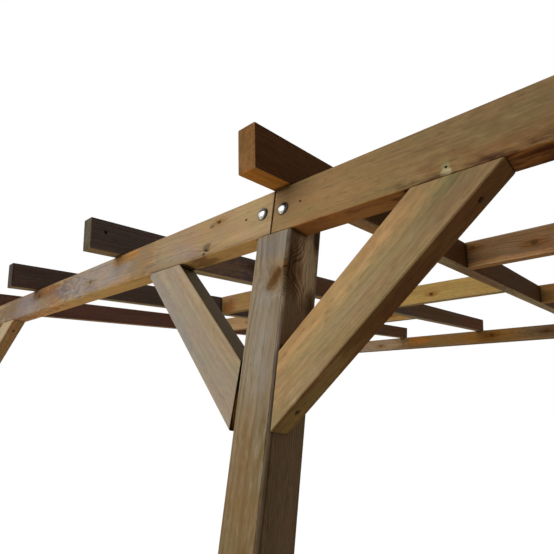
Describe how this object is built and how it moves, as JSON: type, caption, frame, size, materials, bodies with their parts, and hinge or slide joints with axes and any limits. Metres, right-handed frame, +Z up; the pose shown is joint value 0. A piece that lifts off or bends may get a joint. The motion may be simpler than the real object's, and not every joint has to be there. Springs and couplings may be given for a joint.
{
  "type": "lean-to pergola",
  "caption": "Wall-mounted timber pergola: braced front posts carry rebated beams, and sloping rafters with staggered noggings run from them up to a wall plate.",
  "frame": {"origin": "middle of the wall plate's back face, the vertical face that is fixed to the house wall", "axes": "+X along the wall to the right seen from the garden, +Y horizontally into the wall, +Z up"},
  "size_m": [3.89, 3.0897, 2.7884],
  "materials": {
    "post_timber": "planed, pressure treated and weathered",
    "beam_timber": "planed, pressure treated and weathered",
    "brace_timber": "planed, pressure treated and weathered",
    "rafter_timber": "planed, pressure treated and weathered",
    "nogging_timber": "planed, pressure treated and weathered",
    "plate_timber": "planed, pressure treated and weathered",
    "bolt_zinc": "bright zinc plated"
  },
  "bodies": {
    "root": {"post_left": "post_timber", "post_middle": "post_timber", "post_right": "post_timber", "brace_left_post": "brace_timber", "brace_middle_post_left": "brace_timber", "brace_middle_post_right": "brace_timber", "brace_right_post": "brace_timber", "front_beam_left": "beam_timber", "front_beam_right": "beam_timber", "wall_plate_left": "plate_timber", "wall_plate_right": "plate_timber", "rafter_1": "rafter_timber", "rafter_2": "rafter_timber", "rafter_3": "rafter_timber", "rafter_4": "rafter_timber", "rafter_5": "rafter_timber", "rafter_6": "rafter_timber", "rafter_7": "rafter_timber", "nogging_1a": "nogging_timber", "nogging_2a": "nogging_timber", "nogging_2b": "nogging_timber", "nogging_3a": "nogging_timber", "nogging_4a": "nogging_timber", "nogging_4b": "nogging_timber", "nogging_5a": "nogging_timber", "nogging_6a": "nogging_timber", "nogging_6b": "nogging_timber"}
  },
  "joints": []
}
